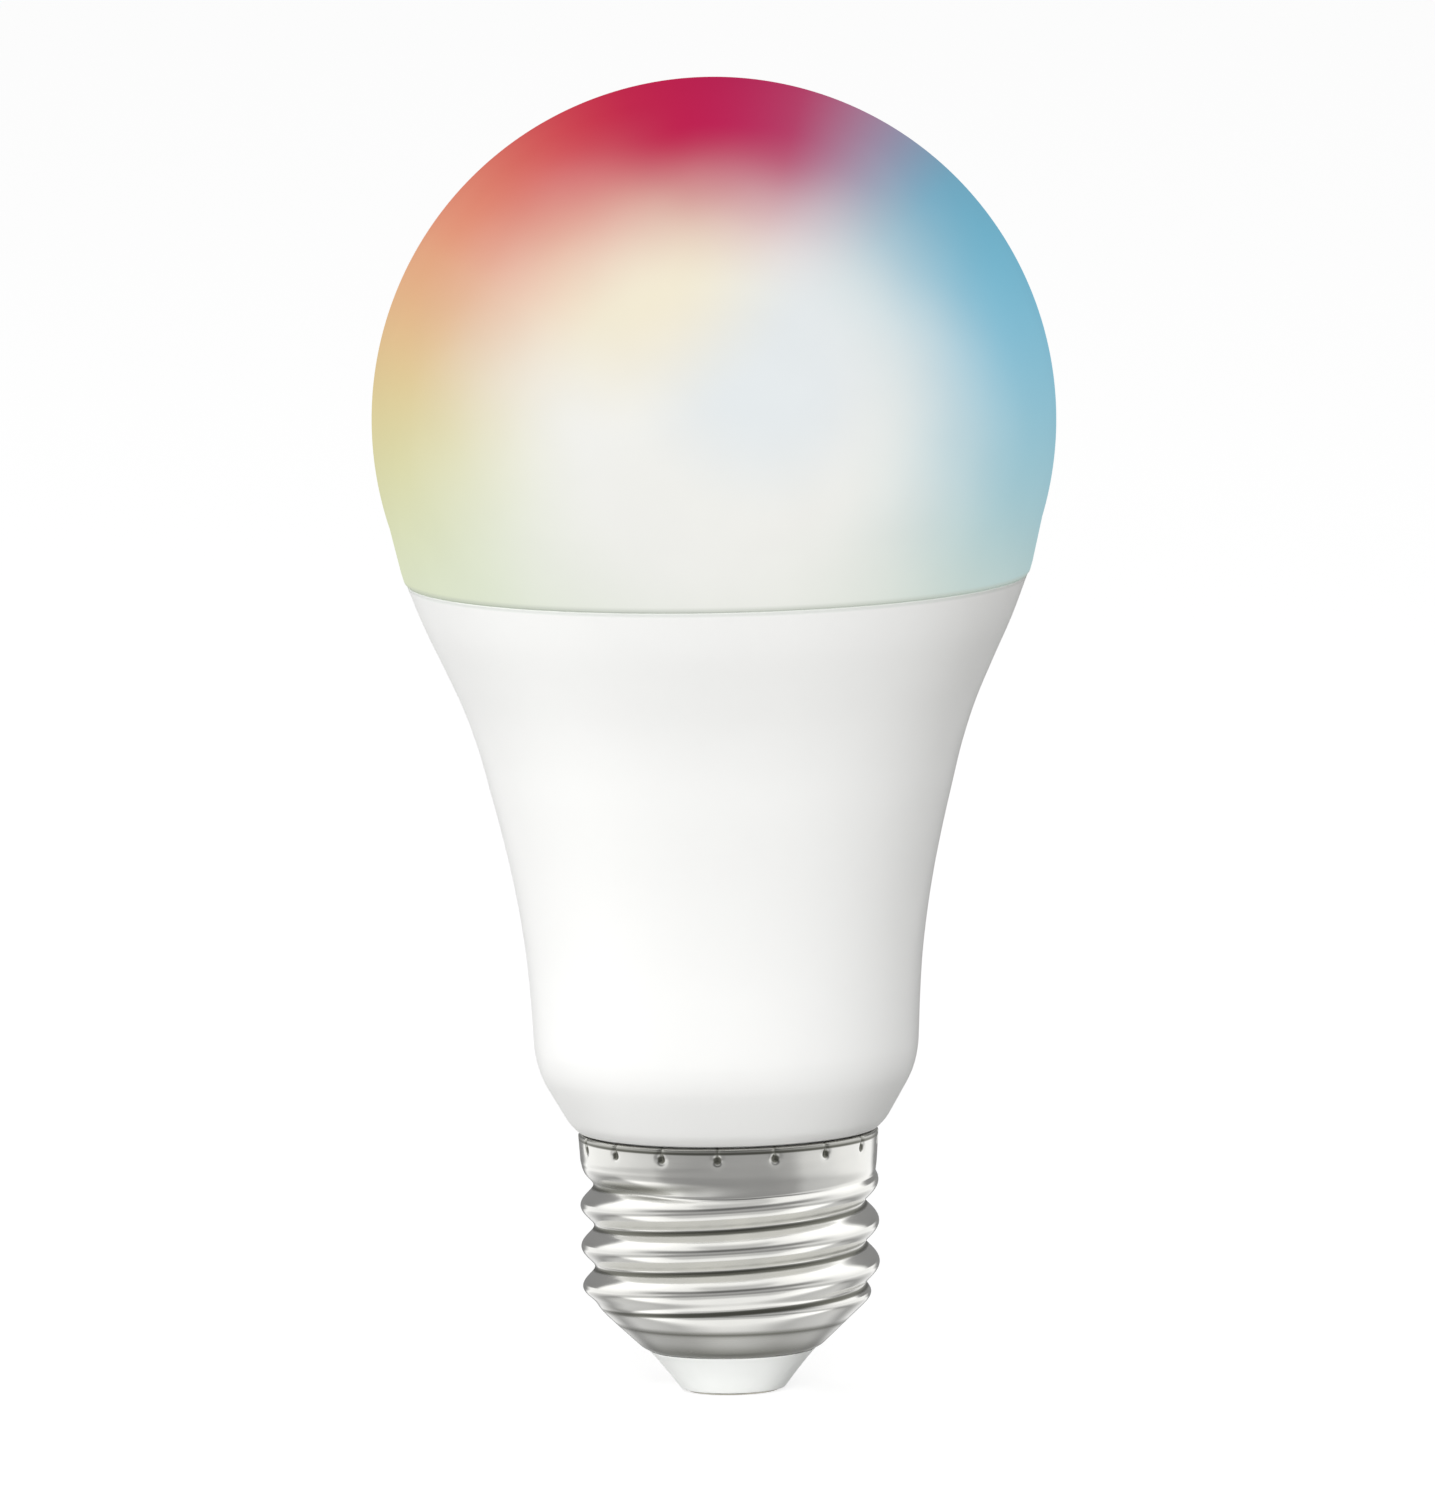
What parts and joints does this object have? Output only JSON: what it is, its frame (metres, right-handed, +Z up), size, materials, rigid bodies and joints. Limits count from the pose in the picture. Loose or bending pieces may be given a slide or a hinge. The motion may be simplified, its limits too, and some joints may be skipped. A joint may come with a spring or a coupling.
{
  "type": "smart light bulb",
  "caption": "LED smart light bulb with a frosted round diffuser that glows in rainbow colours, a flared white housing and an Edison screw cap.",
  "frame": {"origin": "centre of the centre contact's flat face, the lowest point of the bulb stood on its cap", "axes": "+Z runs up the bulb's axis from the contact to the top of the dome, -Y is the front, +X is to the right seen from the front"},
  "size_m": [0.0598, 0.0598, 0.1158],
  "materials": {
    "diffuser": "frosted, lit in rainbow colours around its rim",
    "housing": "satin white moulding",
    "nickel_shell": "bright nickel plate",
    "insulator": "smooth white",
    "contact_metal": "tinned",
    "heat_sink": "drawn sheet",
    "silicone": "soft white",
    "led_board": "white solder mask",
    "circuit_board": "green solder mask",
    "radio_board": "blue solder mask",
    "warm_phosphor": "warm white package",
    "cool_phosphor": "cool white package",
    "colour_package": "clear resin over three dies",
    "bright_steel": "tinned steel",
    "black_epoxy": "moulded epoxy",
    "capacitor_sleeve": "shrunk sleeve",
    "ferrite": "sintered dark grey",
    "winding_tape": "yellow polyester tape",
    "film_case": "dipped red-brown",
    "resistor_coat": "grey-green cement",
    "live_insulation": "red wire insulation",
    "neutral_insulation": "white wire insulation"
  },
  "bodies": {
    "root": {"board_screw_1": "bright_steel", "board_screw_2": "bright_steel", "bridge_rectifier": "black_epoxy", "bulk_capacitor": "capacitor_sleeve", "cap_insulator": "insulator", "contact_eyelet": "contact_metal", "contact_pin": "contact_metal", "cool_led_1": "cool_phosphor", "cool_led_2": "cool_phosphor", "cool_led_3": "cool_phosphor", "cool_led_4": "cool_phosphor", "cool_led_5": "cool_phosphor", "cool_led_6": "cool_phosphor", "dome_adhesive_ring": "silicone", "dome_diffuser": "diffuser", "driver_board": "circuit_board", "driver_ic": "black_epoxy", "film_capacitor": "film_case", "filter_inductor": "ferrite", "fuse_resistor": "resistor_coat", "heat_sink_cup": "heat_sink", "housing_shell": "housing", "led_board": "led_board", "led_header": "black_epoxy", "live_wire": "live_insulation", "neutral_wire": "neutral_insulation", "output_capacitor": "capacitor_sleeve", "radio_board": "radio_board", "radio_can": "bright_steel", "radio_header": "black_epoxy", "rgb_led_1": "colour_package", "rgb_led_2": "colour_package", "rgb_led_3": "colour_package", "rgb_led_4": "colour_package", "screw_shell": "nickel_shell", "thermal_pad": "silicone", "transformer_bobbin": "black_epoxy", "transformer_core": "ferrite", "transformer_winding": "winding_tape", "warm_led_1": "warm_phosphor", "warm_led_2": "warm_phosphor", "warm_led_3": "warm_phosphor", "warm_led_4": "warm_phosphor", "warm_led_5": "warm_phosphor", "warm_led_6": "warm_phosphor"}
  },
  "joints": []
}
